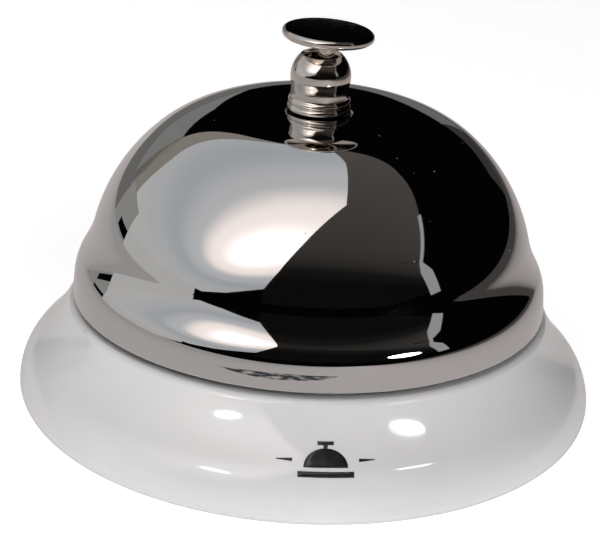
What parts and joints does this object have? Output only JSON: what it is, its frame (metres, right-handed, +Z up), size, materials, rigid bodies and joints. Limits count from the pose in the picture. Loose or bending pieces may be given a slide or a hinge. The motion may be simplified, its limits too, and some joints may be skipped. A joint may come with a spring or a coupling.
{
  "type": "service bell",
  "caption": "Counter call bell: round enamelled base, domed chrome gong and a push button whose plunger swings a hammer up against the inside of the gong.",
  "frame": {"origin": "on the table surface, under the middle of the round base", "axes": "+Z up along the gong's axis; the hammer swings in the plane y = 0 on the +X side; the pictured side faces -Y"},
  "size_m": [0.085, 0.085, 0.0578],
  "materials": {
    "white_enamel": "gloss",
    "mirror_chrome": "mirror",
    "nickel": "polished",
    "turned_steel": "turned",
    "zinc_steel": "zinc plated",
    "spring_steel": "drawn wire",
    "brass": "turned",
    "blackened_steel": "satin",
    "fibre": "matt",
    "foot_rubber": "matt"
  },
  "bodies": {
    "base": {"base_shell": "white_enamel", "bottom_plate": "blackened_steel", "striker_frame": "zinc_steel", "frame_rivets": "turned_steel", "post": "turned_steel", "post_washer": "zinc_steel", "post_nut": "zinc_steel", "gong_cushion": "fibre", "gong": "mirror_chrome", "neck_nut": "nickel", "plunger_spring": "spring_steel", "pivot_pin": "turned_steel", "pivot_clip": "spring_steel", "pivot_spacer_near": "brass", "pivot_spacer_far": "brass", "foot_1": "foot_rubber", "foot_2": "foot_rubber", "foot_3": "foot_rubber", "foot_4": "foot_rubber"},
    "plunger": {"button": "nickel", "plunger_rod": "nickel", "spring_collar": "brass", "plunger_yoke": "brass", "yoke_pin": "turned_steel"},
    "striker": {"striker_lever": "zinc_steel", "striker_head": "turned_steel", "head_rivet": "brass"}
  },
  "joints": [
    {"name": "button_press", "type": "slide", "parent": "base", "child": "plunger", "axis": [0, 0, -1], "range_m": [0, 0.0013], "stiffness_N_per_m": 700, "springref_m": -0.002, "deforming": ["plunger_spring"]},
    {"name": "hammer_swing", "type": "hinge", "parent": "base", "child": "striker", "pos_m": [0.00467, 0, 0.03275], "axis": [0, -1, 0], "range_deg": [0, 16]}
  ],
  "couplings": [
    {"joint": "hammer_swing", "follows": "button_press", "rad_per_m": 214.81}
  ]
}
